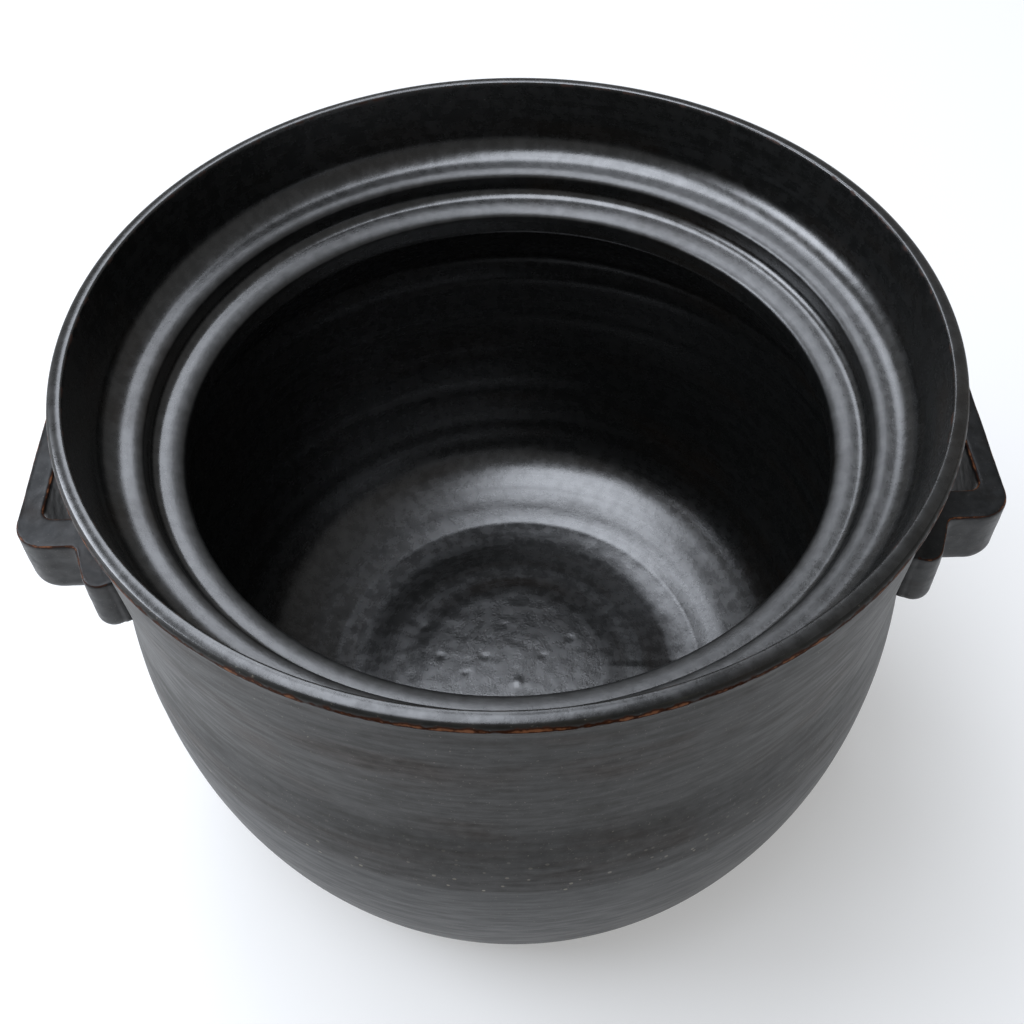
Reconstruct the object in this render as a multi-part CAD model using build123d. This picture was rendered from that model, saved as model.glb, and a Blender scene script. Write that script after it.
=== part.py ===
from build123d import *
import math
import os

# A round clay cooking pot without its lids. Millimetres, +Z up.
# The origin is the middle of the foot, on the surface that the pot stands on.
# The handles lie along X.

# The whole pot
pot_height = 148.0
rim_diameter = 195.0
wall_thickness = 8.5
floor_thickness = 11.0

# The lip, a small roll of clay around the rim
lip_width = 3.4
lip_crown = 0.5
lip_roll_drop = 2.4
lip_overhang = 1.2
lip_underside = 2.4

# The collar that holds the outer lid, and the two ledges inside it
collar_depth = 19.5
collar_draw_in = 3.7
collar_foot_round = 5.0
outer_ledge_width = 8.4
outer_nose_width = 2.8
outer_nose_drop = 1.6
ledge_step = 6.8
riser_draft = 0.4
riser_foot_round = 2.0
inner_ledge_width = 7.2
mouth_nose_width = 4.4
mouth_nose_drop = 2.2

# The mouth ring that carries the inner ledge
mouth_ring_thickness = 7.0
mouth_ring_slope_depth = 19.5
mouth_ring_round = 2.0
throat_round = 8.0

# The floor inside: flat in the middle, then a slight kink and a dish that steepens towards the wall.
# The flat's edge is set in from the wall at the belly.
floor_flat_set_in = 33.6
floor_dish_width = 16.5
floor_dish_start_degrees = 8.0
floor_dish_end_degrees = 26.0

# The outside: a faint waist under the collar, then the belly
waist_drop = 47.3
waist_set_in = 3.3
belly_below_waist = 26.3
belly_set_in = 1.4

# The foot
foot_diameter = 126.0
foot_arris = 1.5
foot_ring_width = 10.0
foot_recess_depth = 2.5
foot_recess_slope = 1.8

# The lug handles
handle_top_drop = 33.95
handle_thickness = 17.0
handle_reach = 14.4
handle_bar_width = 6.0
handle_length = 58.5
handle_end_width = 8.8
handle_corner_round = 8.0
wing_span = 84.0
wing_thickness = 7.2
wing_tip_round = 4.2
wing_root_round = 1.5
handle_top_round = 0.9
handle_bottom_round = 3.5
slot_corner_round = 2.5
slot_edge_round = 1.2

# Where the curves bend, as shares of the stretch that they follow
neck_curve_shares = (0.54, 0.80)
neck_radius_share = 0.44
belly_curve_shares = (0.19, 0.44)
haunch_set_in_share = 0.31
haunch_drop_share = 0.745
nose_curve_share = 0.552
handle_root_share = 0.55
slot_start_share = 0.75

# Radii and levels that follow from the sizes above
rim_radius = rim_diameter / 2
foot_radius = foot_diameter / 2
lip_level = pot_height - lip_crown
collar_top_radius = rim_radius - lip_width
collar_foot_radius = collar_top_radius - collar_draw_in
outer_ledge_level = pot_height - collar_depth
outer_ledge_edge_radius = collar_foot_radius - outer_ledge_width
riser_foot_radius = outer_ledge_edge_radius - riser_draft
inner_ledge_level = outer_ledge_level - ledge_step
mouth_radius = riser_foot_radius - inner_ledge_width
neck_radius = rim_radius - lip_overhang
neck_level = pot_height - lip_roll_drop - lip_underside
waist_radius = rim_radius - waist_set_in
waist_level = pot_height - waist_drop
belly_radius = rim_radius - belly_set_in
belly_level = waist_level - belly_below_waist
haunch_radius = belly_radius - haunch_set_in_share * (belly_radius - foot_radius)
haunch_level = belly_level * (1 - haunch_drop_share)
floor_level = foot_recess_depth + floor_thickness
floor_flat_radius = belly_radius - wall_thickness - floor_flat_set_in


def point(radius, level):
    """A point of an outline, in the plane through the pot's axis."""
    return Vector(radius, 0, level)


def side_curve():
    """Centre radius and radius of the arc that the side follows from the belly to the haunch."""
    drop = belly_level - haunch_level
    set_in = belly_radius - haunch_radius
    radius = (drop ** 2 + set_in ** 2) / (2 * set_in)
    return belly_radius - radius, radius


def outside_outline():
    """The outside from the lip's inner arris down to the foot's arris."""
    lip_inner = point(collar_top_radius, lip_level)
    lip_top = point(rim_radius - lip_width / 2, pot_height)
    lip_outer = point(rim_radius, pot_height - lip_roll_drop)
    neck = point(neck_radius, neck_level)
    waist = point(waist_radius, waist_level)
    belly = point(belly_radius, belly_level)
    haunch = point(haunch_radius, haunch_level)
    foot_edge = point(foot_radius, foot_arris)
    foot_corner = point(foot_radius - foot_arris / 2, 0)
    foot_face = point(foot_radius - foot_arris, 0)
    neck_drop = neck_level - waist_level
    neck_first = point(
        waist_radius + neck_radius_share * (neck_radius - waist_radius),
        neck_level - neck_curve_shares[0] * neck_drop,
    )
    neck_second = point(waist_radius, neck_level - neck_curve_shares[1] * neck_drop)
    belly_first = point(waist_radius, waist_level - belly_curve_shares[0] * belly_below_waist)
    belly_second = point(belly_radius, waist_level - belly_curve_shares[1] * belly_below_waist)
    side = TangentArc(belly, haunch, tangent=Vector(0, 0, -1))
    under = TangentArc(haunch, foot_edge, tangent=side % 1)
    return [
        ThreePointArc(lip_inner, lip_top, lip_outer),
        Line(lip_outer, neck),
        Bezier(neck, neck_first, neck_second, waist),
        Bezier(waist, belly_first, belly_second, belly),
        side,
        under,
        Bezier(foot_edge, foot_corner, foot_face),
    ]


def foot_outline():
    """The foot ring's underside and the shallow recess inside it, in to the axis."""
    ring_outer = point(foot_radius - foot_arris, 0)
    ring_inner = point(foot_radius - foot_ring_width, 0)
    recess_edge = point(foot_radius - foot_ring_width - foot_recess_slope, foot_recess_depth)
    return Polyline(ring_outer, ring_inner, recess_edge, point(0, foot_recess_depth))


def floor_corner():
    """Where the dished floor ends, and where the round corner after it reaches the inner side."""
    start_slope = math.radians(floor_dish_start_degrees)
    slope = math.radians(floor_dish_end_degrees)
    centre_radius, outer_curve = side_curve()
    inner_curve = outer_curve - wall_thickness
    side_centre = point(centre_radius, belly_level)
    dish_rise = floor_dish_width * math.tan((start_slope + slope) / 2)
    dish_edge = point(floor_flat_radius + floor_dish_width, floor_level + dish_rise)
    square_in = point(-math.sin(slope), math.cos(slope))
    offset = dish_edge - side_centre
    corner_round = (inner_curve ** 2 - offset.dot(offset)) / (2 * (inner_curve + square_in.dot(offset)))
    corner_centre = dish_edge + square_in * corner_round
    outward = (corner_centre - side_centre).normalized()
    return dish_edge, side_centre + outward * inner_curve


def eased_nose(edge_radius, level, width, drop):
    """The nose of a ledge, eased like a quarter of an ellipse from its upright face to its top."""
    return Bezier(
        point(edge_radius, level - drop),
        point(edge_radius, level - drop * (1 - nose_curve_share)),
        point(edge_radius + width * (1 - nose_curve_share), level),
        point(edge_radius + width, level),
    )


def inside_outline():
    """The inside from the middle of the floor up to the lip's inner arris."""
    dish_edge, inner_haunch = floor_corner()
    floor_edge = point(floor_flat_radius, floor_level)
    inner_belly = point(belly_radius - wall_thickness, belly_level)
    ring_under_level = inner_ledge_level - mouth_ring_thickness
    dish_start = math.radians(floor_dish_start_degrees)
    dish = TangentArc(floor_edge, dish_edge, tangent=point(math.cos(dish_start), math.sin(dish_start)))
    corner = TangentArc(dish_edge, inner_haunch, tangent=dish % 1)
    side = TangentArc(inner_haunch, inner_belly, tangent=corner % 1)
    throat = FilletPolyline(
        inner_belly,
        point(belly_radius - wall_thickness, ring_under_level - mouth_ring_slope_depth),
        point(mouth_radius, ring_under_level),
        point(mouth_radius, inner_ledge_level - mouth_nose_drop),
        radius=[throat_round, mouth_ring_round],
    )
    mouth_nose = eased_nose(mouth_radius, inner_ledge_level, mouth_nose_width, mouth_nose_drop)
    riser = FilletPolyline(
        point(mouth_radius + mouth_nose_width, inner_ledge_level),
        point(riser_foot_radius, inner_ledge_level),
        point(outer_ledge_edge_radius, outer_ledge_level - outer_nose_drop),
        radius=riser_foot_round,
    )
    outer_nose = eased_nose(outer_ledge_edge_radius, outer_ledge_level, outer_nose_width, outer_nose_drop)
    collar = FilletPolyline(
        point(outer_ledge_edge_radius + outer_nose_width, outer_ledge_level),
        point(collar_foot_radius, outer_ledge_level),
        point(collar_top_radius, lip_level),
        radius=collar_foot_round,
    )
    floor = Line(point(0, floor_level), floor_edge)
    return [floor, dish, corner, side, throat, mouth_nose, riser, outer_nose, collar]


def spun(outline):
    """The solid that a closed outline sweeps out around the pot's axis."""
    return revolve(make_face(outline), Axis.Z)


def solid_outside():
    """The pot's outside with nothing hollowed out, which the handles are cut to fit."""
    closing = Polyline(
        point(foot_radius - foot_arris, 0),
        point(0, 0),
        point(0, lip_level),
        point(collar_top_radius, lip_level),
    )
    return spun(outside_outline() + [closing])


def pot_body():
    """The body: lip, collar, two ledges, mouth ring, belly, floor and foot ring in one clay."""
    axis_line = Line(point(0, foot_recess_depth), point(0, floor_level))
    return spun(outside_outline() + [foot_outline(), axis_line] + inside_outline())


def rounded(face, places, radius):
    """The face with its corners at these places rounded."""
    corners = [face.vertices().sort_by_distance(place)[0] for place in places]
    return fillet(corners, radius)


def slot_plan():
    """The finger slot seen from above, from well inside the wall out to the handle's bar."""
    slot_inner = slot_start_share * waist_radius
    slot_outer = rim_radius + handle_reach - handle_bar_width
    slot = Rectangle(slot_outer - slot_inner, handle_length - 2 * handle_end_width)
    slot = Pos((slot_inner + slot_outer) / 2, 0) * slot
    return fillet(slot.vertices().group_by(Axis.X)[-1], slot_corner_round)


def handle_plan():
    """The handle seen from above, on the +X side, before its seat is cut."""
    outer_edge = rim_radius + handle_reach
    half_length = handle_length / 2
    wing_radius = waist_radius + wing_thickness
    wing_angle = math.asin(wing_span / 2 / wing_radius)
    root_angle = math.asin(half_length / wing_radius)
    inner_radius = handle_root_share * waist_radius

    def polar(radius, angle):
        return Vector(radius * math.cos(angle), radius * math.sin(angle), 0)

    near_tip = polar(wing_radius, -wing_angle)
    near_root = polar(wing_radius, -root_angle)
    near_corner = Vector(outer_edge, -half_length, 0)
    far_corner = Vector(outer_edge, half_length, 0)
    far_root = polar(wing_radius, root_angle)
    far_tip = polar(wing_radius, wing_angle)
    middle_angle = (wing_angle + root_angle) / 2
    outline = [
        Polyline(far_tip, polar(inner_radius, wing_angle), polar(inner_radius, -wing_angle), near_tip),
        ThreePointArc(near_tip, polar(wing_radius, -middle_angle), near_root),
        Polyline(near_root, near_corner, far_corner, far_root),
        ThreePointArc(far_root, polar(wing_radius, middle_angle), far_tip),
    ]
    plan = make_face(outline)
    plan = rounded(plan, [near_corner, far_corner], handle_corner_round)
    plan = rounded(plan, [near_root, far_root], wing_root_round)
    return rounded(plan, [near_tip, far_tip], wing_tip_round)


def handle_right():
    """The handle at +X: a pressed slab with softened edges, its back cut to the wall."""
    bottom = Pos(0, 0, pot_height - handle_top_drop - handle_thickness)
    blank = extrude(bottom * handle_plan(), handle_thickness)
    blank = fillet(blank.edges().group_by(Axis.Z)[0], handle_bottom_round)
    blank = fillet(blank.edges().group_by(Axis.Z)[-1], handle_top_round)
    blank = blank - extrude(bottom * slot_plan(), handle_thickness)
    slot_faces = [blank.faces().sort_by(Axis.Z)[0], blank.faces().sort_by(Axis.Z)[-1]]
    slot_edges = [edge for face in slot_faces for edge in face.inner_wires()[0].edges()]
    blank = fillet(slot_edges, slot_edge_round)
    return blank - solid_outside()


def handle_left():
    """The handle at -X, the same piece turned half round."""
    return Rot(0, 0, 180) * handle_right()


def save(name, shape):
    """Writes one sub-part as its own file and says how large it is."""
    solid = shape.solid()
    print(name, round(solid.volume), "mm3,", solid.bounding_box().size)
    export_step(solid, f"parts/{name}.step")


os.makedirs("parts", exist_ok=True)
save("pot_body", pot_body())
save("handle_left", handle_left())
save("handle_right", handle_right())
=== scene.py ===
# %% [markdown]
# # A round clay cooking pot with two lid ledges
# The pot is a thick stoneware bowl for cooking rice. It has a collar for a heavy outer lid, a ledge inside
# the collar for that lid, a lower ledge for a flat inner lid, and a slotted lug on each side to lift it by.
# The solid model, made in CAD, fixes every size. This script gives the pot its skin: the marks that the
# potter's wheel leaves, a satin iron glaze, and the rust brown that shows where the glaze ran thin.

# %% Load the solid model
import math

import bmesh
import bpy
import numpy as np
from mathutils import Matrix, Vector, noise


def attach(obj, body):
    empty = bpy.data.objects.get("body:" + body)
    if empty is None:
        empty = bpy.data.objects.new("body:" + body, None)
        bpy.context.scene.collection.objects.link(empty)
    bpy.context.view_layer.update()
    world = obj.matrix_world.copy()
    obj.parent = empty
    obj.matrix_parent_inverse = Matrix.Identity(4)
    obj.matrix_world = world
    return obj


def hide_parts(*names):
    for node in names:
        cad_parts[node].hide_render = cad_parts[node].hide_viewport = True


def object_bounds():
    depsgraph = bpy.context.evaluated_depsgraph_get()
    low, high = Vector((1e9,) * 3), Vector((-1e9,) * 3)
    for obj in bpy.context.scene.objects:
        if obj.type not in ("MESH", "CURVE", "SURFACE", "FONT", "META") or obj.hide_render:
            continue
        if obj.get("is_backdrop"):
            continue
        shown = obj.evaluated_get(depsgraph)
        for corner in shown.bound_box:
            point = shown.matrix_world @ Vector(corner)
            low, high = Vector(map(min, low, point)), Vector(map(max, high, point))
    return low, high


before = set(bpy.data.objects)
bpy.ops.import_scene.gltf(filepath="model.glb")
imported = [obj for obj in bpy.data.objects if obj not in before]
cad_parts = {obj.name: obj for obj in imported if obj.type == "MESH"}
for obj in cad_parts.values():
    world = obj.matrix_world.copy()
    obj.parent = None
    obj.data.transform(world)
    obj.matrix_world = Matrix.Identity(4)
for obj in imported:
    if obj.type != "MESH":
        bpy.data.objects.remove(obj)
cad_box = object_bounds()
MM = 0.001
print("solid model, mm:", [round(c / MM, 2) for corner in cad_box for c in corner])

# %% [markdown]
# ## The camera
# The place of the camera was worked out from the pot's rim, its ledges and its outline. It stands square in
# front of the pot, looks down at about 51 degrees, and is rolled by under two degrees. A lens of about 45
# mm, this close, gives the strong narrowing towards the foot.

# %% Camera
CAMERA_PLACE = (0.096, -206.605, 338.696)
CAMERA_AIM = (0.163, 0.0, 85.443)
CAMERA_ROLL = 1.8283
CAMERA_LENS = 45.4316
NEAREST_SEEN = 10.0

place = Vector(CAMERA_PLACE) * MM
forward = (Vector(CAMERA_AIM) * MM - place).normalized()
level_right = forward.cross(Vector((0, 0, 1))).normalized()
level_up = level_right.cross(forward)
roll = math.radians(CAMERA_ROLL)
camera_up = level_up * math.cos(roll) + level_right * math.sin(roll)
camera_right = forward.cross(camera_up)
camera_axes = Matrix((camera_right, camera_up, -forward)).transposed()

camera = bpy.data.objects.new("camera", bpy.data.cameras.new("camera"))
camera.data.lens = CAMERA_LENS
camera.data.clip_start = NEAREST_SEEN * MM
camera.matrix_world = Matrix.Translation(place) @ camera_axes.to_4x4()
bpy.context.scene.collection.objects.link(camera)
bpy.context.scene.camera = camera
bpy.context.scene.view_settings.view_transform = "Standard"
print("camera looks down by", round(math.degrees(math.asin(-forward.z)), 2), "degrees")

# %% [markdown]
# ## Colours and nodes
# Colours are written as the screen shows them, in hex. A shader works with linear light, so one function
# turns them. A second function adds a shader node with its settings and its links, so that a material reads
# as a list.

# %% Helpers for materials


def linear(hex_colour):
    """A colour written as #rrggbb, turned to the linear values that shaders use."""
    parts = [int(hex_colour[i:i + 2], 16) / 255 for i in (1, 3, 5)]
    turned = [c / 12.92 if c <= 0.04045 else ((c + 0.055) / 1.055) ** 2.4 for c in parts]
    return (*turned, 1.0)


def add(tree, kind, settings, inputs):
    """One shader node. Inputs are given by the socket's identifier, as a value or another node's output."""
    made = tree.nodes.new(kind)
    for name, value in settings.items():
        setattr(made, name, value)
    for identifier, value in inputs.items():
        socket = next(s for s in made.inputs if s.identifier == identifier)
        if isinstance(value, bpy.types.NodeSocket):
            tree.links.new(value, socket)
        else:
            socket.default_value = value
    return made


print("a grey of half the screen's scale is", round(linear("#808080")[0], 3), "in linear light")

# %% [markdown]
# ## The floor
# A pot like this is shot on a sheet of white paper. Real paper would need far more light than the dark
# glaze can take before it looked white, so it gets help here. Its matt side takes the lamps and the pot's
# soft shadow, and a glow is added that only the eye sees, straight or mirrored in the glaze. The glow lifts
# the paper towards white and puts no light on the pot.

# %% Paper floor
FLOOR_HALF_WIDTH = 3.0
FLOOR_WHITE = "#d8d8d7"
FLOOR_GLOW = 0.34


def seen_by_the_eye(tree):
    """1 for rays that the camera sees, straight, mirrored or through glass, and 0 for all other light."""
    ray = add(tree, "ShaderNodeLightPath", {}, {})
    straight_or_mirrored = add(tree, "ShaderNodeMath", {"operation": "MAXIMUM"}, {
        "Value": ray.outputs["Is Camera Ray"],
        "Value_001": ray.outputs["Is Glossy Ray"]})
    any_of_them = add(tree, "ShaderNodeMath", {"operation": "MAXIMUM"}, {
        "Value": straight_or_mirrored.outputs[0],
        "Value_001": ray.outputs["Is Transmission Ray"]})
    return any_of_them.outputs[0]


paper = bpy.data.materials.new("matt_white_paper")
paper.use_nodes = True
tree = paper.node_tree
tree.nodes.clear()
matt = add(tree, "ShaderNodeBsdfDiffuse", {}, {"Color": linear(FLOOR_WHITE)})
no_glow = add(tree, "ShaderNodeEmission", {}, {"Strength": 0.0})
full_glow = add(tree, "ShaderNodeEmission", {}, {"Color": linear("#ffffff"), "Strength": FLOOR_GLOW})
glow = add(tree, "ShaderNodeMixShader", {}, {
    "Fac": seen_by_the_eye(tree), "Shader": no_glow.outputs[0], "Shader_001": full_glow.outputs[0]})
both = add(tree, "ShaderNodeAddShader", {}, {"Shader": matt.outputs[0], "Shader_001": glow.outputs[0]})
add(tree, "ShaderNodeOutputMaterial", {}, {"Surface": both.outputs[0]})

sheet = bmesh.new()
bmesh.ops.create_grid(sheet, x_segments=1, y_segments=1, size=FLOOR_HALF_WIDTH)
floor_mesh = bpy.data.meshes.new("studio_floor")
sheet.to_mesh(floor_mesh)
sheet.free()
floor_mesh.materials.append(paper)
floor = bpy.data.objects.new("studio_floor", floor_mesh)
bpy.context.scene.collection.objects.link(floor)
floor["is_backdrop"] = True
print("paper floor:", 2 * FLOOR_HALF_WIDTH, "m wide, glow", FLOOR_GLOW)

# %% [markdown]
# ## The room
# The room's walls could be built, but from here they only send back a little light from every side. A world
# of one dim white, a fifth as bright as white paper, does the same. It keeps the inner wall from going
# fully black.

# %% White room
ROOM_LIGHT = 0.20

world = bpy.data.worlds.new("white_studio")
world.use_nodes = True
bpy.context.scene.world = world
tree = world.node_tree
tree.nodes.clear()
room = add(tree, "ShaderNodeBackground", {}, {"Color": linear("#ffffff"), "Strength": ROOM_LIGHT})
add(tree, "ShaderNodeOutputWorld", {}, {"Surface": room.outputs[0]})
print("room light", ROOM_LIGHT, "of white")

# %% [markdown]
# ## The lamps
# A dark glaze shows little but what it mirrors, so each lamp is a softbox, placed for the part that mirrors
# it. The main one hangs high on the left, over the floor of the pot and the right of the ledges. The second
# stands behind the pot at half height, for the back of the ledges. The third is small and near, low on the
# left, for the left of the ledges and the left wall. Nothing lights the front wall but the white floor. A
# softbox is told here by its direction from the pot, how wide and high it looks, in degrees, and how bright
# its cloth is, where 1 is white paper in full light.

# %% Softboxes
LAMP_WHITE = "#eef4ff"
AIM_HEIGHT = 120.0


def softbox(name, azimuth, elevation, width, height, brightness, distance):
    """A rectangular lamp aimed at the pot. Azimuth counts from straight behind the pot to the right."""
    a, e = math.radians(azimuth), math.radians(elevation)
    direction = Vector((math.sin(a) * math.cos(e), math.cos(a) * math.cos(e), math.sin(e)))
    lamp = bpy.data.lights.new(name, "AREA")
    lamp.shape = "RECTANGLE"
    lamp.size = 2 * distance * math.tan(math.radians(width / 2))
    lamp.size_y = 2 * distance * math.tan(math.radians(height / 2))
    lamp.energy = brightness * math.pi * lamp.size * lamp.size_y
    lamp.color = linear(LAMP_WHITE)[:3]
    holder = bpy.data.objects.new(name, lamp)
    holder.location = Vector((0, 0, AIM_HEIGHT * MM)) + direction * distance
    holder.rotation_euler = (-direction).to_track_quat("-Z", "Y").to_euler()
    holder.visible_camera = False
    bpy.context.scene.collection.objects.link(holder)
    print(name, "is", round(lamp.size, 2), "by", round(lamp.size_y, 2), "m,", round(lamp.energy, 1), "W")
    return holder


softbox("softbox_overhead", azimuth=-80, elevation=77.5, width=47, height=33, brightness=5.2, distance=2.0)
softbox("softbox_back", azimuth=-17, elevation=48, width=26, height=20, brightness=3.6, distance=1.5)
softbox("softbox_left", azimuth=-86, elevation=28, width=34, height=24, brightness=7.0, distance=0.75)

# %% [markdown]
# ## The body's outline
# The body was thrown, or pressed in a spinning mould, so one outline turned round the axis describes all of
# it. A Screw modifier could spin it, but the wheel marks need each point's place on the outline and its
# angle, so the rings are made in code. The outline runs from the middle of the floor up the inside, over
# the lip, down the outside and under the foot. It is put together from runs, at first straight lines and
# arcs that go on from the run before without a kink. All sizes are in mm, as (radius, level).

# %% Runs of the outline
CURVE_POINTS = 200


def line(start, end):
    """A straight run, as its two ends."""
    return np.array([start, end], float)


def tangent_arc(start, heading, end):
    """The arc that leaves start along heading and reaches end."""
    start, end = np.array(start, float), np.array(end, float)
    heading = np.array(heading, float) / np.hypot(*heading)
    side = np.array([-heading[1], heading[0]])
    chord = end - start
    radius = chord @ chord / (2 * (chord @ side))
    turn = 2 * math.atan2(chord @ side, chord @ heading)
    t = np.linspace(0, turn, CURVE_POINTS)[:, None]
    return start + abs(radius) * (np.sin(abs(t)) * heading + np.sign(radius) * (1 - np.cos(t)) * side)


def last_heading(run):
    """The direction in which a run ends."""
    return run[-1] - run[-2]


print("an arc is drawn with", CURVE_POINTS, "points")

# %% [markdown]
# ### The floor and the side inside
# The cooking floor is flat in the middle and dishes up to a round corner, so that rice lifts out clean. The
# side is one wide arc from there to the belly. The corner's round isn't chosen: it is the only one that
# runs on from the dish and also meets the side without a kink.

# %% The floor and the side inside
FLOOR_LEVEL = 13.5
FLOOR_FLAT, DISH_WIDTH = 54.0, 16.5
DISH_START, DISH_SLOPE = math.radians(8), math.radians(26)
SIDE_CENTRE, SIDE_ROUND = np.array((-58.74, 74.4)), 146.34

dish_rise = DISH_WIDTH * math.tan((DISH_START + DISH_SLOPE) / 2)
dish_edge = np.array((FLOOR_FLAT + DISH_WIDTH, FLOOR_LEVEL + dish_rise))
square_in = np.array((-math.sin(DISH_SLOPE), math.cos(DISH_SLOPE)))
offset = dish_edge - SIDE_CENTRE
corner_round = (SIDE_ROUND ** 2 - offset @ offset) / (2 * (SIDE_ROUND + square_in @ offset))
to_corner = dish_edge + square_in * corner_round - SIDE_CENTRE
inner_haunch = SIDE_CENTRE + to_corner / np.hypot(*to_corner) * SIDE_ROUND
inner_belly = SIDE_CENTRE + (SIDE_ROUND, 0)

floor_run = line((0.0, FLOOR_LEVEL), (FLOOR_FLAT, FLOOR_LEVEL))
floor_dish = tangent_arc(floor_run[-1], (math.cos(DISH_START), math.sin(DISH_START)), dish_edge)
floor_corner = tangent_arc(dish_edge, last_heading(floor_dish), inner_haunch)
inner_side = tangent_arc(inner_haunch, last_heading(floor_corner), inner_belly)
print("round of the floor's corner:", round(corner_round, 1), "mm")

# %% [markdown]
# ### The mouth ring and the two ledges
# Both ledges were turned with a shaped rib and then wiped, so their noses are eased, with no sharp edge
# that would chip or shed its glaze. They fall by eight or nine degrees towards the middle, which lets steam
# water run back into the pot. Each nose is a free curve, near a quarter of an ellipse, and each inner
# corner is a fillet. A free curve is drawn by its two ends and two pulls, which say where it heads. It
# comes nearest to a quarter circle when each pull is 0.552 of the radius away.

# %% Free curves and fillets
ROUND_SHARE = 0.552


def bezier(a, b, c, d):
    """A curve from a to d that leaves towards b and arrives from c."""
    t = np.linspace(0, 1, CURVE_POINTS)[:, None]
    a, b, c, d = (np.array(p, float) for p in (a, b, c, d))
    return (1 - t) ** 3 * a + 3 * (1 - t) ** 2 * t * b + 3 * (1 - t) * t ** 2 * c + t ** 3 * d


def filleted(corners, radii):
    """Straight runs with an arc of the given radius at each inner corner. Each run tells if it bends."""
    corners = [np.array(c, float) for c in corners]
    runs, start = [], corners[0]
    for before, corner, after, radius in zip(corners, corners[1:], corners[2:], radii):
        back = (before - corner) / np.hypot(*(before - corner))
        on = (after - corner) / np.hypot(*(after - corner))
        reach = radius / math.tan(math.acos(back @ on) / 2)
        runs.append((line(start, corner + back * reach), False))
        runs.append((tangent_arc(corner + back * reach, -back, corner + on * reach), True))
        start = corner + on * reach
    runs.append((line(start, corners[-1]), False))
    return runs


quarter = bezier((1, 0), (1, ROUND_SHARE), (ROUND_SHARE, 1), (0, 1))
print("a free quarter circle is off by", round(100 * abs(np.hypot(*quarter.T) - 1).max(), 3), "percent")

# %% The mouth ring and the two ledges
MOUTH_RADIUS, INNER_LEDGE, INNER_SEAT = 74.4, 121.7, 79.8
OUTER_LEDGE_EDGE, OUTER_LEDGE, OUTER_SEAT = 82.0, 128.5, 85.6
COLLAR_FOOT, LIP_INNER = (90.4, 128.5), (94.1, 147.5)
INNER_FALL, OUTER_FALL = math.tan(math.radians(8)), math.tan(math.radians(9))
THROAT, RING_FOOT = (87.6, 95.2), (74.4, 114.7)
THROAT_ROUND, RING_FOOT_ROUND = 8.0, 2.0
RISER_LEAN, RISER_ROUND, COLLAR_ROUND = 0.4, 2.6, 6.4


def inner_top(radius):
    """The level of the inner ledge's top at a radius."""
    return INNER_LEDGE + (radius - INNER_SEAT) * INNER_FALL


def outer_top(radius):
    """The level of the outer ledge's top at a radius."""
    return OUTER_LEDGE + (radius - OUTER_SEAT) * OUTER_FALL


def nose(edge, top, fall, width, drop):
    """The eased nose of a ledge, from its upright face to its gently falling top."""
    end = np.array((edge + width, top(edge + width)))
    start = np.array((edge, end[1] - drop))
    pull_up = start + (0, drop * ROUND_SHARE)
    pull_back = end - width * ROUND_SHARE * np.array((1, fall))
    return bezier(start, pull_up, pull_back, end)


mouth_nose = nose(MOUTH_RADIUS, inner_top, INNER_FALL, width=4.2, drop=2.3)
ledge_nose = nose(OUTER_LEDGE_EDGE, outer_top, OUTER_FALL, width=2.8, drop=1.9)
riser_foot = (OUTER_LEDGE_EDGE - RISER_LEAN, inner_top(OUTER_LEDGE_EDGE - RISER_LEAN))
collar_lean = (LIP_INNER[0] - COLLAR_FOOT[0]) / (LIP_INNER[1] - COLLAR_FOOT[1])
collar_radius = (COLLAR_FOOT[0] - collar_lean * OUTER_FALL * OUTER_SEAT) / (1 - collar_lean * OUTER_FALL)
collar_corner = (collar_radius, outer_top(collar_radius))

stepped = filleted([inner_belly, THROAT, RING_FOOT, mouth_nose[0]], [THROAT_ROUND, RING_FOOT_ROUND])
stepped += [(mouth_nose, True)]
stepped += filleted([mouth_nose[-1], riser_foot, ledge_nose[0]], [RISER_ROUND])
stepped += [(ledge_nose, True)]
stepped += filleted([ledge_nose[-1], collar_corner, LIP_INNER], [COLLAR_ROUND])
print("the collar starts at a radius of", round(collar_radius, 2), "mm and leans out by",
      round(math.degrees(math.atan(collar_lean)), 1), "degrees")

# %% [markdown]
# ### The lip and the outside
# The lip is rolled over by hand: a narrow band on top that rises a little and then falls outwards, with a
# small round on either side. From there the neck draws in, the wall swells to the belly, and two arcs take
# it under to the foot. The foot ring was trimmed when the clay was leather-hard, and its middle stands 2.5
# mm off the table, so that the pot can't rock.

# %% The lip, the outside and the foot
LIP_BAND_START, LIP_BAND_END, LIP_BAND_RISE = (94.6, 147.9), (96.75, 147.52), math.radians(7)
LIP_SIDE, LIP_OUTER = (97.5, 146.2), (97.5, 145.6)
LIP_PULL_UP, LIP_PULL_BACK = 0.25, (0.3, 0.04)
NECK, NECK_PULL = (96.3, 143.2), (95.124, 120.25)
WAIST, WAIST_PULL_UP, WAIST_PULL_DOWN = (94.2, 100.7), (94.2, 109.2), (94.2, 95.70)
BELLY, BELLY_PULL = (96.1, 74.4), (96.1, 89.13)
HAUNCH = (85.84, 18.97)
FOOT_EDGE, FOOT_PULLS, FOOT_OUTER = (63.0, 1.5), ((62.5, 0.5), (62.0, 0.0)), (61.5, 0.0)
FOOT_INNER, RECESS_EDGE, RECESS_MIDDLE = (53.0, 0.0), (51.2, 2.5), (0.0, 2.5)

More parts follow.
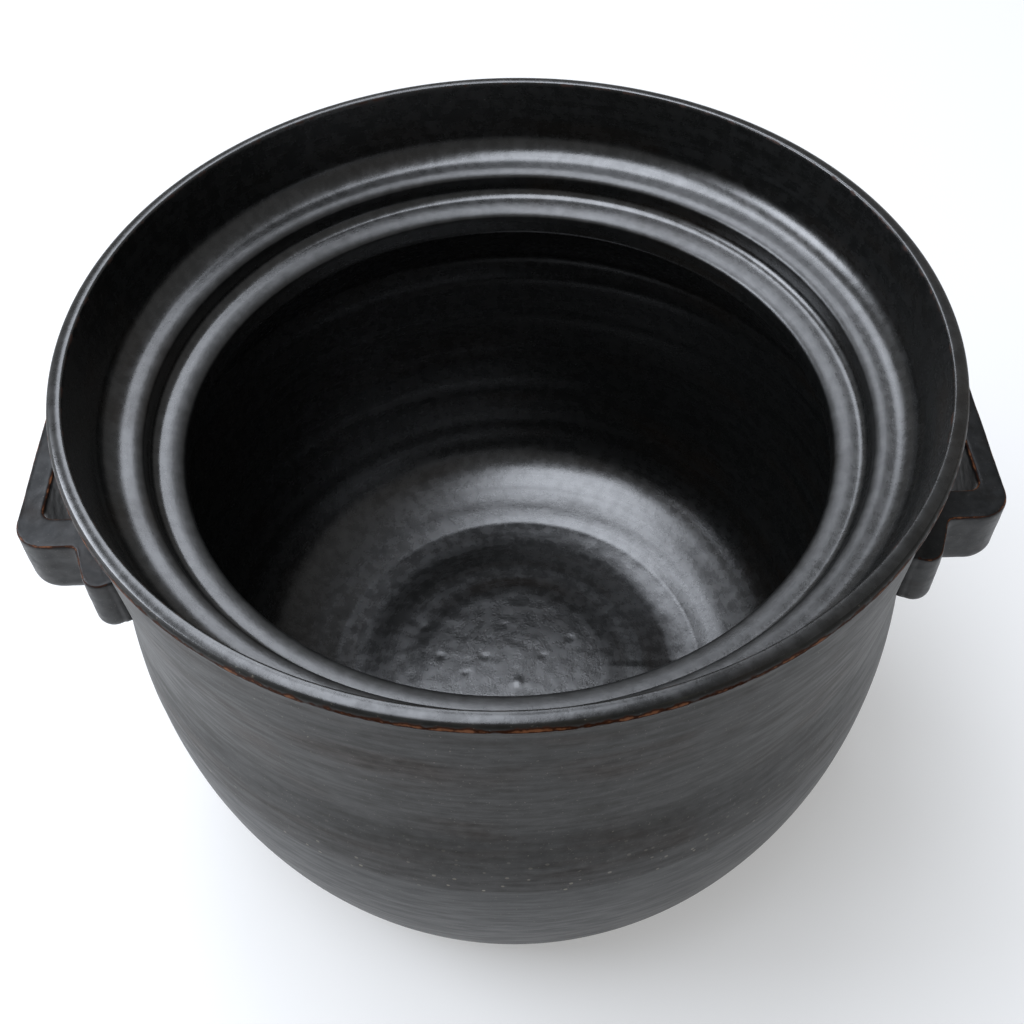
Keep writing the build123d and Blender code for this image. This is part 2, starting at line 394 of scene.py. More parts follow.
collar_up = np.array(LIP_INNER) - collar_corner
collar_up /= np.hypot(*collar_up)
lip_inner_round = bezier(
    LIP_INNER, np.array(LIP_INNER) + LIP_PULL_UP * collar_up,
    np.array(LIP_BAND_START) - LIP_PULL_BACK, LIP_BAND_START)
lip_band = tangent_arc(LIP_BAND_START, (math.cos(LIP_BAND_RISE), math.sin(LIP_BAND_RISE)), LIP_BAND_END)
lip_outer_round = tangent_arc(LIP_BAND_END, last_heading(lip_band), LIP_SIDE)
neck_curve = bezier(NECK, NECK_PULL, WAIST_PULL_UP, WAIST)
belly_curve = bezier(WAIST, WAIST_PULL_DOWN, BELLY_PULL, BELLY)
side_run = tangent_arc(BELLY, (0, -1), HAUNCH)
under_run = tangent_arc(HAUNCH, last_heading(side_run), FOOT_EDGE)
foot_arris = bezier(FOOT_EDGE, *FOOT_PULLS, FOOT_OUTER)
print("the foot ring is", FOOT_OUTER[0] - FOOT_INNER[0], "mm wide")

# %% [markdown]
# ### One row of points
# The runs are cut into points at even distances. Straight runs need few, bends and the floor, where the
# marks are small, need more: about three to the millimetre at the lip and the noses.

# %% The whole outline
FLOOR_STEP, DISH_STEP, CORNER_STEP = 0.75, 0.6, 0.9
FLAT_STEP, BEND_STEP, WALL_STEP, RECESS_STEP = 0.8, 0.33, 1.6, 4.0
LEAST_GAP = 0.05


def resampled(run, step):
    """Points at even distances along a run, all but its last."""
    lengths = np.r_[0, np.cumsum(np.hypot(*np.diff(run, axis=0).T))]
    places = np.linspace(0, lengths[-1], max(2, math.ceil(lengths[-1] / step) + 1))[:-1]
    return np.stack([np.interp(places, lengths, run[:, i]) for i in (0, 1)], 1)


runs = [(floor_run, FLOOR_STEP), (floor_dish, DISH_STEP), (floor_corner, CORNER_STEP)]
runs += [(inner_side, WALL_STEP)]
runs += [(run, BEND_STEP if bends else FLAT_STEP) for run, bends in stepped]
runs += [(run, BEND_STEP) for run in (lip_inner_round, lip_band, lip_outer_round)]
runs += [(line(LIP_SIDE, LIP_OUTER), BEND_STEP), (line(LIP_OUTER, NECK), BEND_STEP)]
runs += [(run, WALL_STEP) for run in (neck_curve, belly_curve, side_run, under_run)]
runs += [(foot_arris, BEND_STEP), (line(FOOT_OUTER, FOOT_INNER), FLAT_STEP)]
runs += [(line(FOOT_INNER, RECESS_EDGE), FLAT_STEP), (line(RECESS_EDGE, RECESS_MIDDLE), RECESS_STEP)]

outline = np.concatenate([resampled(run, step) for run, step in runs] + [[RECESS_MIDDLE]])
gaps = np.hypot(*np.diff(outline, axis=0).T)
along = np.r_[0, np.cumsum(gaps)]
radius, level = outline[:, 0], outline[:, 1]
assert np.all(gaps > LEAST_GAP)
print("outline:", len(outline), "points over", round(along[-1], 1), "mm")

# %% [markdown]
# ## What the wheel leaves
# A thrown wall keeps the path of the fingers as broad, shallow rings, and a trimmed one has finer lines.
# Neither is quite even round the pot. A Displace modifier could push a texture into the surface, but it
# knows nothing of the wheel. Here each mark is a sum of smooth values along the outline that change slowly
# round the pot, and all are added up in one table, push: how far each point moves out of the clay, in mm.

# %% Smooth uneven values
WAVE_SEEDS, TURN_SEEDS = 31, 17
EVEN_OUT = 0.6


def smooth_values(places, pitch, seed):
    """Smooth values from -1 to 1 along a line of places, with a new one at every pitch."""
    knots = np.random.default_rng(seed).uniform(-1, 1, int(places.max() / pitch) + 3)
    whole = np.floor(places / pitch).astype(int)
    t = places / pitch - whole
    t = t * t * (3 - 2 * t)
    return knots[whole] * (1 - t) + knots[whole + 1] * t


def round_values(places, angles, pitch, lobes, seed):
    """Values from about -1 to 1, of places by angles, smooth both ways and closed round the pot."""
    total = smooth_values(places, pitch, seed)[:, None] * np.ones(len(angles))
    for k in range(1, lobes + 1):
        for turn, wave in enumerate((np.cos(k * angles), np.sin(k * angles))):
            drift = smooth_values(places, pitch, seed + WAVE_SEEDS * k + TURN_SEEDS * turn)[:, None]
            total = total + drift * wave / math.sqrt(k)
    return total / (1 + EVEN_OUT * lobes ** 0.5)


def bump_at(places, centre, half_width):
    """A smooth bump of height 1 round a place."""
    return np.exp(-((places - centre) / half_width) ** 2)


def ramp(places, start, end):
    """0 before start and 1 past end, smooth between. It falls instead of rising where start is past end."""
    t = np.clip((places - start) / (end - start), 0, 1)
    return t * t * (3 - 2 * t)


print("a quarter of the way up, a ramp has reached", ramp(0.25, 0, 1).round(3))

# %% Points round the pot
SEGMENTS = 240

angles = np.arange(SEGMENTS) * 2 * math.pi / SEGMENTS
degrees = np.degrees(angles)
lip_at = along[np.argmax(level)]
inside, outside = along < lip_at, along > lip_at
push = np.zeros((len(outline), SEGMENTS))
print("push has", push.size, "values")

# %% [markdown]
# ### Finger rings up the wall inside
# As the potter lifts the wall, each turn of the wheel leaves a ring where the fingers pressed. This pot has
# five, about 13 mm apart. Each wanders up and down by a millimetre and is deeper on one side of the pot
# than on the other. Between them the clay is covered in fine lines of a fortieth of a millimetre.

# %% Finger rings
WALL_IN_START, WALL_IN_END = (20, 30), (100, 94)
FINGER_RINGS = (86.5, 72.9, 58.8, 46.1, 33.5)
RING_HEIGHT, RING_UNEVEN, RING_HALF_WIDTH = 0.22, 0.12, 1.6
RING_WANDER, RING_PITCH = 1.2, 400
FINE_IN, FINE_IN_PITCH = 0.025, 5.0

wall_in = (inside * ramp(level, *WALL_IN_START) * ramp(level, *WALL_IN_END))[:, None]
for number, ring_level in enumerate(FINGER_RINGS):
    wander = RING_WANDER * round_values(level, angles, RING_PITCH, lobes=3, seed=100 + number)
    ring = bump_at(level[:, None] - ring_level, wander, RING_HALF_WIDTH)
    depth = RING_HEIGHT + RING_UNEVEN * round_values(level, angles, RING_PITCH, lobes=5, seed=140 + number)
    push += wall_in * ring * depth
push += wall_in * FINE_IN * round_values(along, angles, FINE_IN_PITCH, lobes=4, seed=11)
print(len(FINGER_RINGS), "finger rings, up to", round(push.max(), 2), "mm high")

# %% [markdown]
# ### The floor inside
# The floor was pressed down in the middle and drawn up at its corner while the wheel turned, more on the
# right than on the left. That slope catches the high lamp as a bright crescent. Two low rings lie on the
# flat part.

# %% Hollow and rings of the floor
FLOOR_BELOW, FLOOR_RIM = 22, (74, 70)
FLOOR_RINGS = ((38, 5.0, 0.30), (27, 3.5, 0.12))
RING_CHANGE, RING_CHANGE_PITCH = 0.22, 9
HAUNCH_BELOW, HAUNCH_FADE = 62, (60, 28)
RAISED, RAISED_FROM = 2.4, (44.5, 60)
DUG, DUG_FROM = 1.1, (20, 45)
STEEPER, STEEPER_FROM = 0.6, (59, 69)
RIGHT_AT, RIGHT_WIDTH, RIGHT_SHARE = 28, 38, 0.40
LINES_ON_FLOOR, LINES_PITCH, LINES_FROM = 0.02, 5.5, (4, 14)

on_floor = (inside * (level < FLOOR_BELOW) * ramp(radius, *FLOOR_RIM))[:, None]
floor_rings = sum(high * bump_at(radius, at, wide) for at, wide, high in FLOOR_RINGS)
uneven = 1 + RING_CHANGE * round_values(radius, angles, RING_CHANGE_PITCH, lobes=3, seed=21)
haunch = inside * (level < HAUNCH_BELOW) * ramp(level, *HAUNCH_FADE)
kink = haunch * (RAISED * ramp(radius, *RAISED_FROM) - DUG * ramp(radius, *DUG_FROM))
steeper = haunch * STEEPER * ramp(radius, *STEEPER_FROM)
to_the_right = bump_at(degrees, RIGHT_AT, RIGHT_WIDTH)
right_side = 1 - RIGHT_SHARE + RIGHT_SHARE * to_the_right

push += on_floor * floor_rings[:, None] * uneven
push += kink[:, None] * right_side + steeper[:, None] * to_the_right
fine_lines = round_values(radius, angles, LINES_PITCH, lobes=4, seed=23)
push += on_floor * ramp(radius, *LINES_FROM)[:, None] * LINES_ON_FLOOR * fine_lines
print("the floor is dug by", round(-push.min(), 2), "mm and raised by", round(push.max(), 2), "mm")

# %% [markdown]
# ### Dents, pits and a pimple
# The middle of the floor was patted flat, which leaves a hammered skin of dents some 4 mm and 2 mm apart. A
# few burst bubbles left pits a tenth or two of a millimetre deep, and one lump of grog stands proud. A list
# keeps each one's place, half width and depth, since there are too few of them for a texture.

# %% Hammered skin and pits
DENTED_BELOW, DENTED_FADE, DENT_DEPTH = 20, (62, 46), 0.045
DENTS_APART, SMALL_DENTS_APART, SMALL_DENTS_SHARE = 3.8, 2.1, 0.4
BROAD_LAYER, SMALL_LAYER = 0.0, 5.0
PITS = ((0.4, -5.6, 1.5, -0.28), (-9.5, 3.6, 1.2, 0.16), (-22.6, 4.4, 1.2, 0.16), (8.0, 3.4, 1.1, 0.14),
        (-15.2, -1.8, 1.0, 0.12), (16.4, 9.3, 1.1, 0.12), (-3.1, 14.8, 1.0, 0.10), (-27.3, 15.1, 1.2, 0.12))


def hammered(x, y):
    """How high the patted clay stands at a place, from about -1 to 1."""
    broad = noise.noise((x / DENTS_APART, y / DENTS_APART, BROAD_LAYER))
    small = noise.noise((x / SMALL_DENTS_APART, y / SMALL_DENTS_APART, SMALL_LAYER))
    return broad + SMALL_DENTS_SHARE * small


turned_at = radius[:, None, None] * np.stack([np.cos(angles), np.sin(angles)], -1)
dented = inside & (level < DENTED_BELOW)
skin = np.array([[hammered(x, y) for x, y in ring] for ring in turned_at[dented]])
push[dented] += DENT_DEPTH * skin * ramp(radius, *DENTED_FADE)[dented, None]
for x, y, wide, deep in PITS:
    push -= on_floor * deep * np.exp(-((turned_at - (x, y)) ** 2).sum(-1) / wide ** 2)
print("dents on", int(dented.sum()), "rings of points, and", len(PITS), "pits")

# %% [markdown]
# ### The outside
# Outside, the wall is only softly uneven: waves 16 mm apart and a tenth of a millimetre high. The pot was
# dipped twice, and the second coat ends at the belly in a line that wanders. Below it the skin is thinner,
# by an eighth of a millimetre, and its lighter grey is partly a painted reflection of the white floor, which
# the wall mirrors as it turns under. Just above the line the glaze pooled, and the pool's darker brown,
# strongest at the front, is partly painted shade of the belly. The front, nearest to the camera, is drier.

# %% The wall outside and where the second coat ends
WALL_OUT_START, WALL_OUT_END = (3, 12), (141, 134)
WAVE_OUT, WAVE_OUT_PITCH = 0.10, 16
FINE_OUT, FINE_OUT_PITCH = 0.015, 3.0
GLAZE_LINE, LINE_WANDER, LINE_PITCH, LINE_EDGE = 74.4, 0.9, 500, (-0.5, 0.6)
SECOND_COAT, FOOT_BARE_BELOW = 0.12, 1.6
STEP_FADES, STEP_LEFT = (0.75, 0.1), 0.25
POOL_AND_SHADE_HEIGHT, POOL_AND_SHADE_ALL_ROUND = 8, 0.25
FRONT_AT, FRONT_WIDTH, DRY_FROM = 272, 42, (66, 92)

wall_out = (outside * ramp(level, *WALL_OUT_START) * ramp(level, *WALL_OUT_END))[:, None]
push += wall_out * WAVE_OUT * round_values(along, angles, WAVE_OUT_PITCH, lobes=4, seed=31)
push += wall_out * FINE_OUT * round_values(along, angles, FINE_OUT_PITCH, lobes=5, seed=33)

line_level = GLAZE_LINE + LINE_WANDER * round_values(level, angles, LINE_PITCH, lobes=5, seed=41)
above_line = level[:, None] - line_level
below = 1 - ramp(above_line, *LINE_EDGE)
# Below the line the thinner skin is real; its lighter grey tint is partly a painted reflection of the floor.
lower = outside[:, None] * below * (level > FOOT_BARE_BELOW)[:, None]
step_depth = STEP_LEFT + (1 - STEP_LEFT) * ramp(np.cos(angles), *STEP_FADES)
push -= SECOND_COAT * lower * step_depth * wall_out

front = bump_at(degrees, FRONT_AT, FRONT_WIDTH)
# The glaze really pooled above the line; its darker tint there, strongest at the front, is partly painted
# shade.
pooled_and_painted_shade = outside[:, None] * (1 - below) * np.exp(-np.maximum(above_line, 0) / POOL_AND_SHADE_HEIGHT)
pooled_and_painted_shade *= POOL_AND_SHADE_ALL_ROUND + (1 - POOL_AND_SHADE_ALL_ROUND) * front
dry = (outside * ramp(level, *DRY_FROM))[:, None] * front
print("marks of the wheel: from", round(push.min(), 2), "to", round(push.max(), 2), "mm")

# %% [markdown]
# ## The body
# Each point of the outline becomes a ring of points, moved out of the clay by push. The lip, the ledges and
# the foot stay where the solid has them. The mesh also carries clues for the glaze, one number per point
# each: how far along the outline the point is, how sharp the clay is there, where the glaze pooled and
# shade is painted above the belly, where a painted reflection lightens the skin below it, and so on.

# %% A mesh turned round the axis
CLUES = ("along_mm", "arris", "nose", "rubbed", "lower_glaze_painted_reflection", "pooled_and_painted_shade", "dry", "bare_clay")


def new_piece(name, points, faces, clues):
    """A smooth-shaded mesh object, with the clues for the glaze stored at its points."""
    mesh = bpy.data.meshes.new(name)
    mesh.from_pydata((np.asarray(points) * MM).tolist(), [], faces)
    mesh.shade_smooth()
    for key in CLUES:
        numbers = np.asarray(clues[key], np.float32).ravel()
        mesh.attributes.new(key, "FLOAT", "POINT").data.foreach_set("value", numbers)
    made = bpy.data.objects.new(name, mesh)
    bpy.context.scene.collection.objects.link(made)
    print(name, len(mesh.vertices), "points,", len(mesh.polygons), "faces")
    return made


def turned(outline, push, angles):
    """Points and faces of an outline turned round the axis. Its two ends lie on the axis."""
    heading = np.gradient(outline, axis=0)
    heading /= np.hypot(*heading.T)[:, None]
    out = np.stack([-heading[:, 1], heading[:, 0]], 1)
    r = outline[1:-1, 0, None] + push[1:-1] * out[1:-1, 0, None]
    z = outline[1:-1, 1, None] + push[1:-1] * out[1:-1, 1, None]
    rings = np.stack([r * np.cos(angles), r * np.sin(angles), z], -1).reshape(-1, 3)
    points = np.concatenate([[[0, 0, outline[0, 1]]], rings, [[0, 0, outline[-1, 1]]]])

    n, count = len(angles), len(outline) - 2
    first = 1 + np.arange(n)
    after = 1 + (np.arange(n) + 1) % n
    faces = [(0, a, b) for a, b in zip(first.tolist(), after.tolist())]
    for start in range(0, (count - 1) * n, n):
        quads = [first + start, first + start + n, after + start + n, after + start]
        faces += np.stack(quads, 1).tolist()
    last, end = (count - 1) * n, len(points) - 1
    faces += [(end, last + b, last + a) for a, b in zip(first.tolist(), after.tolist())]
    return points, faces


def per_point(values):
    """Values on the outline, or on the outline by the angles, as one value per point of the turned mesh."""
    grid = np.broadcast_to(values if np.ndim(values) == 2 else np.asarray(values)[:, None], push.shape)
    return np.concatenate([[grid[0].mean()], grid[1:-1].ravel(), [grid[-1].mean()]])


def place_along(corner):
    """How far along the outline its point nearest to a corner is."""
    return along[np.argmin(np.hypot(*(outline - corner).T))]


print(len(CLUES), "clues for the glaze")

# %% [markdown]
# ### Where the clay is sharp, grainy, rubbed or bare
# Glaze runs off a sharp edge while it melts, so each edge is listed with the width of the thin strip and
# how thin it gets. The tops of the two noses are grainy, the middle of the floor is rubbed by spoons, and
# the foot was wiped clean, so that the pot doesn't stick to the kiln shelf.

# %% The glazed body
# Points on the two noses are counted along their curves, from the face up.
MOUTH_EDGE, MOUTH_TOP = mouth_nose[30], mouth_nose[100]
LEDGE_EDGE, LEDGE_TOP = ledge_nose[60], ledge_nose[100]
SHARP_EDGES = ((LIP_SIDE, 0.8, 0.9), (LIP_INNER, 0.35, 0.5), (MOUTH_EDGE, 0.6, 0.1), (LEDGE_EDGE, 0.5, 0.1),
               (FOOT_EDGE, 1.0, 0.6))
GRAINY_TOPS = ((MOUTH_TOP, 1.8), (LEDGE_TOP, 1.5))
RUBBED_WITHIN, BARE_RADIUS, BARE_BELOW = (34, 22), 63.5, (2.6, 1.2)

arris = sum(thin * bump_at(along, place_along(edge), width) for edge, width, thin in SHARP_EDGES)
grainy = sum(bump_at(along, place_along(top), width) for top, width in GRAINY_TOPS)
rubbed = inside * (level < DENTED_BELOW) * ramp(radius, *RUBBED_WITHIN)
bare = outside * (radius < BARE_RADIUS) * ramp(level, *BARE_BELOW)
in_order = (along, arris, grainy, rubbed, lower, pooled_and_painted_shade, dry, bare)

points, faces = turned(outline, push, angles)
clues = {key: per_point(value) for key, value in zip(CLUES, in_order)}
body = new_piece("pot_body_glazed", points, faces, clues)
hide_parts("pot_body")
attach(body, "root")

# %% [markdown]
# ## The handles
# Each lug was pressed or cut as a slab, its edges wiped with a sponge, and stuck to the wall with slip. The
# solid has the right form but machine-sharp curves. The lug here is a copy of it, remeshed to an even skin
# of small faces and then smoothed twice, which eases the edges as the sponge did. Bevelling the solid's own
# edges would do the same, but its long thin faces would show the glaze's bumps badly.

# %% The lug's skin from the solid model
LUG_VOXEL = 0.45
EASE_SHARE, EASE_TIMES = 0.5, 2


def lug_skin(node_name):
    """Points in mm, the directions outwards there, and faces of a lug, evenly meshed and eased."""
    source = bpy.data.objects.new(node_name + "_copy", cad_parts[node_name].data.copy())
    bpy.context.scene.collection.objects.link(source)
    source.data.materials.clear()
    remesh = source.modifiers.new("even_skin", "REMESH")
    remesh.mode = "VOXEL"
    remesh.voxel_size = LUG_VOXEL * MM
    ease = source.modifiers.new("sponged_edges", "SMOOTH")
    ease.factor, ease.iterations = EASE_SHARE, EASE_TIMES
    eased = source.evaluated_get(bpy.context.evaluated_depsgraph_get())
    mesh = bpy.data.meshes.new_from_object(eased)
    bpy.data.objects.remove(source)
    count = len(mesh.vertices)
    co, normals = np.zeros(count * 3), np.zeros(count * 3)
    mesh.vertices.foreach_get("co", co)
    mesh.vertex_normals.foreach_get("vector", normals)
    faces = [tuple(face.vertices) for face in mesh.polygons]
    bpy.data.meshes.remove(mesh)
    print(node_name, "has a skin of", count, "points")
    return co.reshape(-1, 3) / MM, normals.reshape(-1, 3), faces


# %% [markdown]
# ### Hand-made faces, and how a lug sits on the wall
# Clay that was patted by hand is a little uneven, with hollows some 9 mm apart and a finer roughness of 2
# mm. The lug's back stays where it is, and where it meets the wall it goes in by 0.6 mm, as clay joined wet
# does. The glaze is thin where the surface turns from one face to another, most of all round the top.

# %% Lugs
LUG_HOLLOWS, HOLLOWS_PER_MM = 0.16, 0.11
LUG_ROUGH, ROUGH_PER_MM = 0.05, 0.45
LUG_THINNER = 0.16
SEAT_STILL = (1.5, 1.8)
LUG_SINK, SINK_NEAR, SINK_FADE = 0.6, 0.35, 0.2
EDGE_TURN, LOWER_EDGES, TOP_EDGES = 0.2, 0.25, (6, 2)
WALL_ABOVE = 3


def wall_radius(z):
    """The radius of the pot's outside at a level, in mm."""
    side = outside & (level > WALL_ABOVE)
    return np.interp(z, level[side][::-1], radius[side][::-1])


def lug(node_name, name, seed):
    """A lug made from a node of the solid model. The seed gives each one its own hollows."""
    co, normals, faces = lug_skin(node_name)
    hollows = np.array([noise.noise(Vector(p) * HOLLOWS_PER_MM + Vector((seed, 0, 0))) for p in co])
    rough = np.array([noise.noise(Vector(p) * ROUGH_PER_MM + Vector((0, seed, 0))) for p in co])
    reach = np.hypot(co[:, 0], co[:, 1])
    free = ramp(reach - wall_radius(co[:, 2]), *SEAT_STILL)
    co = co + normals * ((LUG_HOLLOWS * hollows + LUG_ROUGH * rough - LUG_THINNER) * free)[:, None]
    at_wall = ramp(wall_radius(co[:, 2]) + SINK_NEAR - reach, 0, SINK_FADE)
    co[:, :2] *= (1 - LUG_SINK * at_wall / reach)[:, None]

    facing = np.maximum(abs(normals[:, 2]), np.hypot(normals[:, 0], normals[:, 1]))
    from_top = co[:, 2].max() - co[:, 2]
    edge = np.clip((1 - facing) / EDGE_TURN, 0, 1)
    edge *= LOWER_EDGES + (1 - LOWER_EDGES) * ramp(from_top, *TOP_EDGES)
    clues = dict.fromkeys(CLUES, np.zeros(len(co)))
    clues["along_mm"] = co[:, 2]
    clues["arris"] = edge * free
    piece = new_piece(name, co, faces, clues)
    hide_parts(node_name)
    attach(piece, "root")
    return piece


lugs = [lug("handle_left", "handle_left_glazed", seed=3.7),
        lug("handle_right", "handle_right_glazed", seed=9.2)]

# %% [markdown]
# ## The iron glaze
# The skin is a stoneware glaze with a lot of iron. The pot was dipped in it and fired to a satin
# near-black. Iron crystals at its face give it more gloss than plain glass has, and pits and tiny crystals
# blur that gloss, so the lamps show as soft bands. Where the hot glaze runs thin over an arris, the iron
# shows as rust brown, and in thick places it stays blue-black. An image of glaze could be wrapped round the
# pot, but noise textures worked out from real sizes have no seam and stay sharp close up.
#
# One glaze has three finishes here. Inside it is thick and smooth, and shines most. Outside the coat is
# thinner and drier, so it shines less and shows more brown. On the lugs, which never turned on the wheel,
# it lies evenly. A small table says how they differ: how much longer than high its streaks are, its index
# of refraction, how far its gloss is blurred, how high a streak stands in mm, and its colours.

# %% Three finishes of one glaze
FINISHES = {
    "satin_iron_glaze_inside": dict(
        drawn_out=28, ior=2.0, satin=(0.26, 0.29), relief=0.004,
        ground="#0a0b0a", warm="#15100b", streak="#121313", speck="#2c2d2c"),
    "dry_iron_glaze_outside": dict(
        drawn_out=7, ior=1.5, satin=(0.42, 0.54), relief=0.006,
        ground="#151512", warm="#241a11", streak="#24231d", speck="#6c665a"),
    "satin_iron_glaze_lug": dict(
        drawn_out=1.7, ior=1.5, satin=(0.36, 0.48), relief=0.008,
        ground="#0b0d0e", warm="#1c130c", streak="#17191b", speck="#55504a"),
}
print(len(FINISHES), "finishes")

# %% [markdown]
# ### Patterns of the glaze
# The wheel draws streaks and bands out round the pot: 1.5 mm high, they are about 40 mm long inside and 10
# mm outside. So their noise is looked up at a place made of the height along the outline and, much shrunk,
# the place across the pot. Patches of 26 mm, a mottle of 3 mm, a grain of 0.6 mm and pinholes 3.4 mm apart
# lie evenly. The real grain is finer still, a tenth of a millimetre, and is drawn coarser so that it shows.

# %% Patterns, by kind, size in mm and detail
PATTERNS = (("streaks", "drawn", 1.5, 3.0), ("bands", "drawn", 9.0, 2.0), ("patches", "even", 26.0, 2.0),
            ("mottle", "even", 3.2, 3.0), ("grain", "even", 0.6, 2.0))
FINER_SHARE = 0.6
PINHOLES_APART = 3.4


def glaze_patterns(tree, drawn_out):
    """The clues that the mesh carries and the patterns of the glaze, as node outputs by name."""
    glaze = {key: add(tree, "ShaderNodeAttribute", {"attribute_name": key}, {}).outputs["Fac"]
             for key in CLUES}
    metres = add(tree, "ShaderNodeTexCoord", {}, {}).outputs["Object"]
    even = add(tree, "ShaderNodeVectorMath", {"operation": "SCALE"}, {"Vector": metres, "Scale": 1 / MM})
    across = add(tree, "ShaderNodeVectorMath", {"operation": "MULTIPLY"}, {
        "Vector": even.outputs[0],
        "Vector_001": (1 / drawn_out, 1 / drawn_out, 0.0)})
    upwards = add(tree, "ShaderNodeCombineXYZ", {}, {"Z": glaze["along_mm"]})
    drawn = add(tree, "ShaderNodeVectorMath", {"operation": "ADD"}, {
        "Vector": across.outputs[0],
        "Vector_001": upwards.outputs[0]})
    places = {"even": even.outputs[0], "drawn": drawn.outputs[0]}
    for key, kind, size, detail in PATTERNS:
        glaze[key] = add(tree, "ShaderNodeTexNoise", {}, {
            "Vector": places[kind], "Scale": 1 / size,
            "Detail": detail, "Roughness": FINER_SHARE}).outputs["Fac"]
    glaze["pinholes"] = add(tree, "ShaderNodeTexVoronoi", {}, {
        "Vector": places["even"], "Scale": 1 / PINHOLES_APART}).outputs["Distance"]
    return glaze


print(len(PATTERNS), "noises, and pinholes", PINHOLES_APART, "mm apart")

# %% [markdown]
# ### Where each colour shows
# A noise is grey nearly everywhere, so a smooth step picks out only its strong parts. Brown shows where a
# band meets a patch. Rust shows where the clay is sharp and the glaze happens to be thin, and the sharpest
# and thinnest of it turns orange. Pinholes show only where the glaze pooled.

# %% Smooth steps: name, pattern, from, to, value before, value after
STEPS = (("banded", "bands", 0.42, 0.68, 0.0, 1.0), ("patchy", "patches", 0.38, 0.66, 0.0, 1.0),
         ("streaky", "streaks", 0.50, 0.72, 0.0, 0.75), ("specks", "grain", 0.66, 0.76, 0.0, 0.7),
         ("pin", "pinholes", 0.10, 0.16, 1.0, 0.0), ("uneven", "mottle", 0.30, 0.72, -0.35, 0.35))
PAIRS = (("brown", "MULTIPLY", "banded", "patchy"), ("thin", "ADD", "arris", "uneven"),
         ("pin_dots", "MULTIPLY", "pin", "pooled_and_painted_shade"))
THIN_STEPS = (("rust", "thin", 0.35, 0.75, 0.0, 1.0), ("orange", "thin", 0.80, 1.15, 0.0, 0.9))


def glaze_shares(tree, glaze):
    """Adds to the patterns how much of each colour shows, from 0 to 1."""
    for steps, pairs in ((STEPS, PAIRS), (THIN_STEPS, ())):
        for key, pattern, start, end, before, after in steps:
            glaze[key] = add(tree, "ShaderNodeMapRange", {"interpolation_type": "SMOOTHSTEP"}, {
                "Value": glaze[pattern], "From Min": start, "From Max": end,
                "To Min": before, "To Max": after}).outputs[0]
        for key, operation, first, second in pairs:
            glaze[key] = add(tree, "ShaderNodeMath", {"operation": operation}, {
                "Value": glaze[first], "Value_001": glaze[second]}).outputs[0]


print(len(STEPS + THIN_STEPS), "smooth steps")

# %% [markdown]
# ### Gloss and relief
# The gloss is blurred by the satin of the finish, more so on rust, on the grainy noses and on bare clay. It
# is weaker on rust, on brown, on the dry front and where the glaze pooled, and it changes with the mottle,
# since the crystals grow in clouds. The relief is in mm: a mottle of a thirtieth, streaks of a few
# thousandths, a grain that is rougher on the noses and on the rubbed floor, and pinholes that go in. All of
# these are sums, so one table holds them: what a sum starts from, and what is added to it with which
# weight. A weight or a start may also be the name of something worked out before.

# %% Sums: name, start, and what is added with its weight
SUMS = (("roughness", "satin", (("nose", 0.16), ("uneven", 0.06), ("rust", 0.22), ("bare_clay", 0.4))),
        ("gloss", 0.5, (("rust", -0.32), ("dry", -0.18), ("brown", -0.12), ("pooled_and_painted_shade", -0.12),
                        ("streaky", "streak_dulls"), ("uneven", 0.22))),
        ("grain_depth", 0.012, (("nose", 0.03), ("rubbed", 0.04))),
        ("height", 0.0, (("grain", "grain_depth"), ("mottle", 0.035), ("streaks", "relief"),
                         ("pin_dots", -0.05))))
SATIN_STEP = (0.3, 0.7)
STREAK_DULLS = 8


def glaze_sums(tree, glaze, satin, relief):
    """Adds to the patterns the roughness and gloss of the glaze and the height of its relief."""
    glaze["relief"] = relief
    glaze["streak_dulls"] = -STREAK_DULLS * relief
    glaze["satin"] = add(tree, "ShaderNodeMapRange", {"interpolation_type": "SMOOTHSTEP"}, {
        "Value": glaze["streaks"], "From Min": SATIN_STEP[0], "From Max": SATIN_STEP[1],
        "To Min": satin[0], "To Max": satin[1]}).outputs[0]
    for key, start, added in SUMS:
        total = glaze.get(start, start)
        for share, weight in added:
            total = add(tree, "ShaderNodeMath", {"operation": "MULTIPLY_ADD"}, {
                "Value": glaze[share],
                "Value_001": glaze.get(weight, weight),
                "Value_002": total}).outputs[0]
        glaze[key] = total


print(len(SUMS), "sums")

# %% [markdown]
# ### The finished glaze
# The colours are laid over each other like washes, the last on top: first the brown and the streaks of the
# finish itself, last the bare clay of the foot, since no glaze covers it. A Principled shader then takes
# the colour, the roughness, the gloss and the relief.

# %% Glaze material
# The pool's dark brown is partly painted shade, and the lower glaze's lighter grey is partly a painted
# reflection.
WASHES = ("brown", "streaky", "pooled_and_painted_shade", "lower_glaze_painted_reflection", "specks", "pin_dots", "rust", "orange", "bare_clay")
GLAZE_TINTS = {"pooled_and_painted_shade": "#130f0c", "lower_glaze_painted_reflection": "#2b2c2c", "pin_dots": "#8d8676", "rust": "#3a2116",
               "orange": "#8a5a3c", "bare_clay": "#8d7a66"}


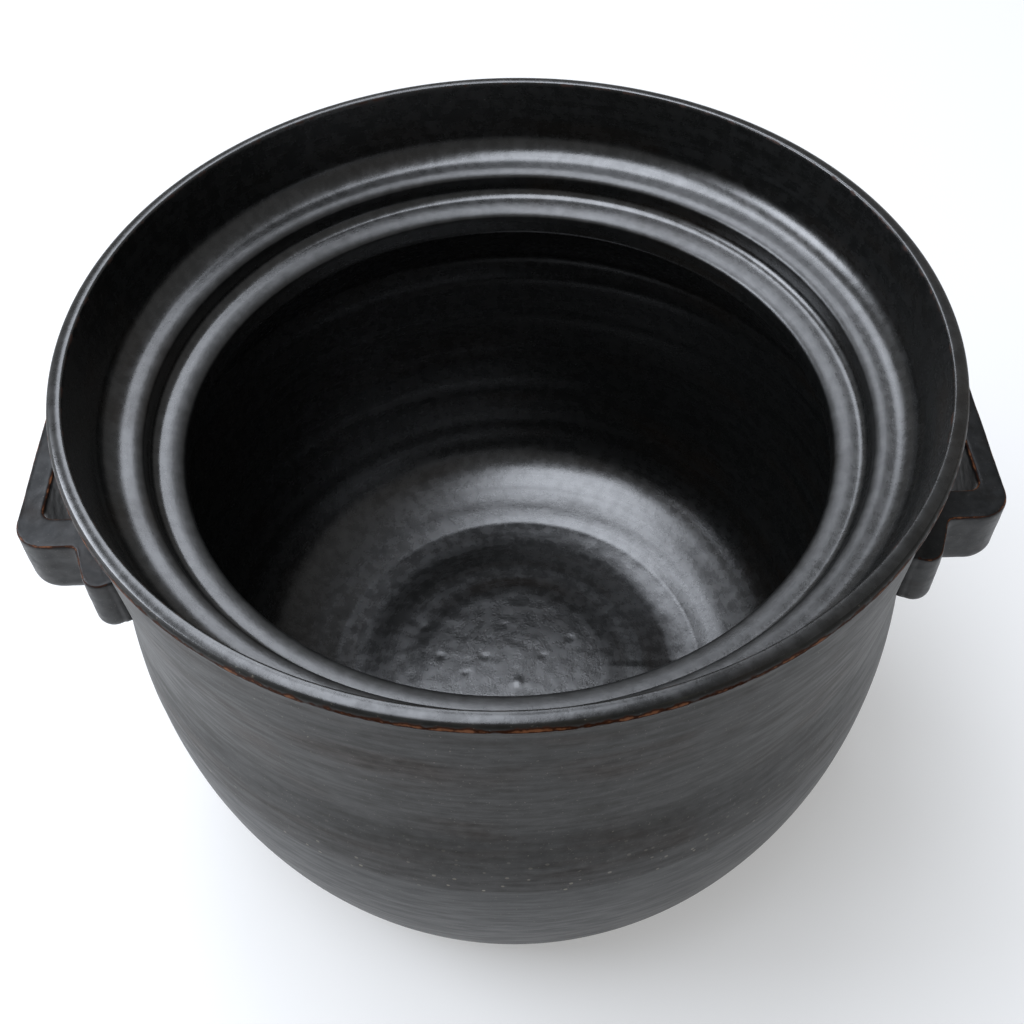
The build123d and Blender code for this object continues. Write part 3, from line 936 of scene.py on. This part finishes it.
def iron_glaze(name, drawn_out, ior, satin, relief, ground, warm, streak, speck):
    """Satin black iron glaze on stoneware, in one of its finishes."""
    material = bpy.data.materials.new(name)
    material.use_nodes = True
    tree = material.node_tree
    tree.nodes.clear()
    glaze = glaze_patterns(tree, drawn_out)
    glaze_shares(tree, glaze)
    glaze_sums(tree, glaze, satin, relief)
    tints = {"brown": warm, "streaky": streak, "specks": speck, **GLAZE_TINTS}
    colour = linear(ground)
    for key in WASHES:
        colour = add(tree, "ShaderNodeMix", {"data_type": "RGBA"}, {
            "Factor_Float": glaze[key], "A_Color": colour, "B_Color": linear(tints[key])}).outputs["Result"]
    bump = add(tree, "ShaderNodeBump", {}, {"Height": glaze["height"], "Strength": 1.0, "Distance": MM})
    skin = add(tree, "ShaderNodeBsdfPrincipled", {}, {
        "Base Color": colour, "Roughness": glaze["roughness"], "IOR": ior,
        "Specular IOR Level": glaze["gloss"], "Normal": bump.outputs[0]})
    add(tree, "ShaderNodeOutputMaterial", {}, {"Surface": skin.outputs[0]})
    print(name, "has", len(tree.nodes), "nodes")
    return material


glazes = {name: iron_glaze(name, **finish) for name, finish in FINISHES.items()}

# %% [markdown]
# ### Each piece wears its glaze
# The body wears two finishes. The inner one goes over the lip and ends at the outer edge of the band on
# top, where the potter's hand held the pot for the last dip. Each face of the mesh tells by its place along
# the outline which of the two it wears.

# %% Glazes on the pieces
LIP_TOLERANCE = 0.01

for name in ("satin_iron_glaze_inside", "dry_iron_glaze_outside"):
    body.data.materials.append(glazes[name])
for piece in lugs:
    piece.data.materials.append(glazes["satin_iron_glaze_lug"])

inner_end = place_along(LIP_BAND_END) - LIP_TOLERANCE
stored = np.zeros(len(body.data.vertices), np.float32)
body.data.attributes["along_mm"].data.foreach_get("value", stored)
outer_faces = [stored[list(face.vertices)].min() > inner_end for face in body.data.polygons]
body.data.polygons.foreach_set("material_index", np.array(outer_faces, np.int32))
print(sum(outer_faces), "faces wear the outer glaze")

# %% [markdown]
# ## The size
# The dressed pot has to fit inside the solid one. Both boxes are kept and printed, so that they can be
# compared.

# %% Sizes and the end
boxes = {"cad": [list(corner) for corner in cad_box], "visual": [list(corner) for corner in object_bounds()]}
for key, corners in boxes.items():
    print(key, "box, mm:", [round(c / MM, 2) for corner in corners for c in corner])
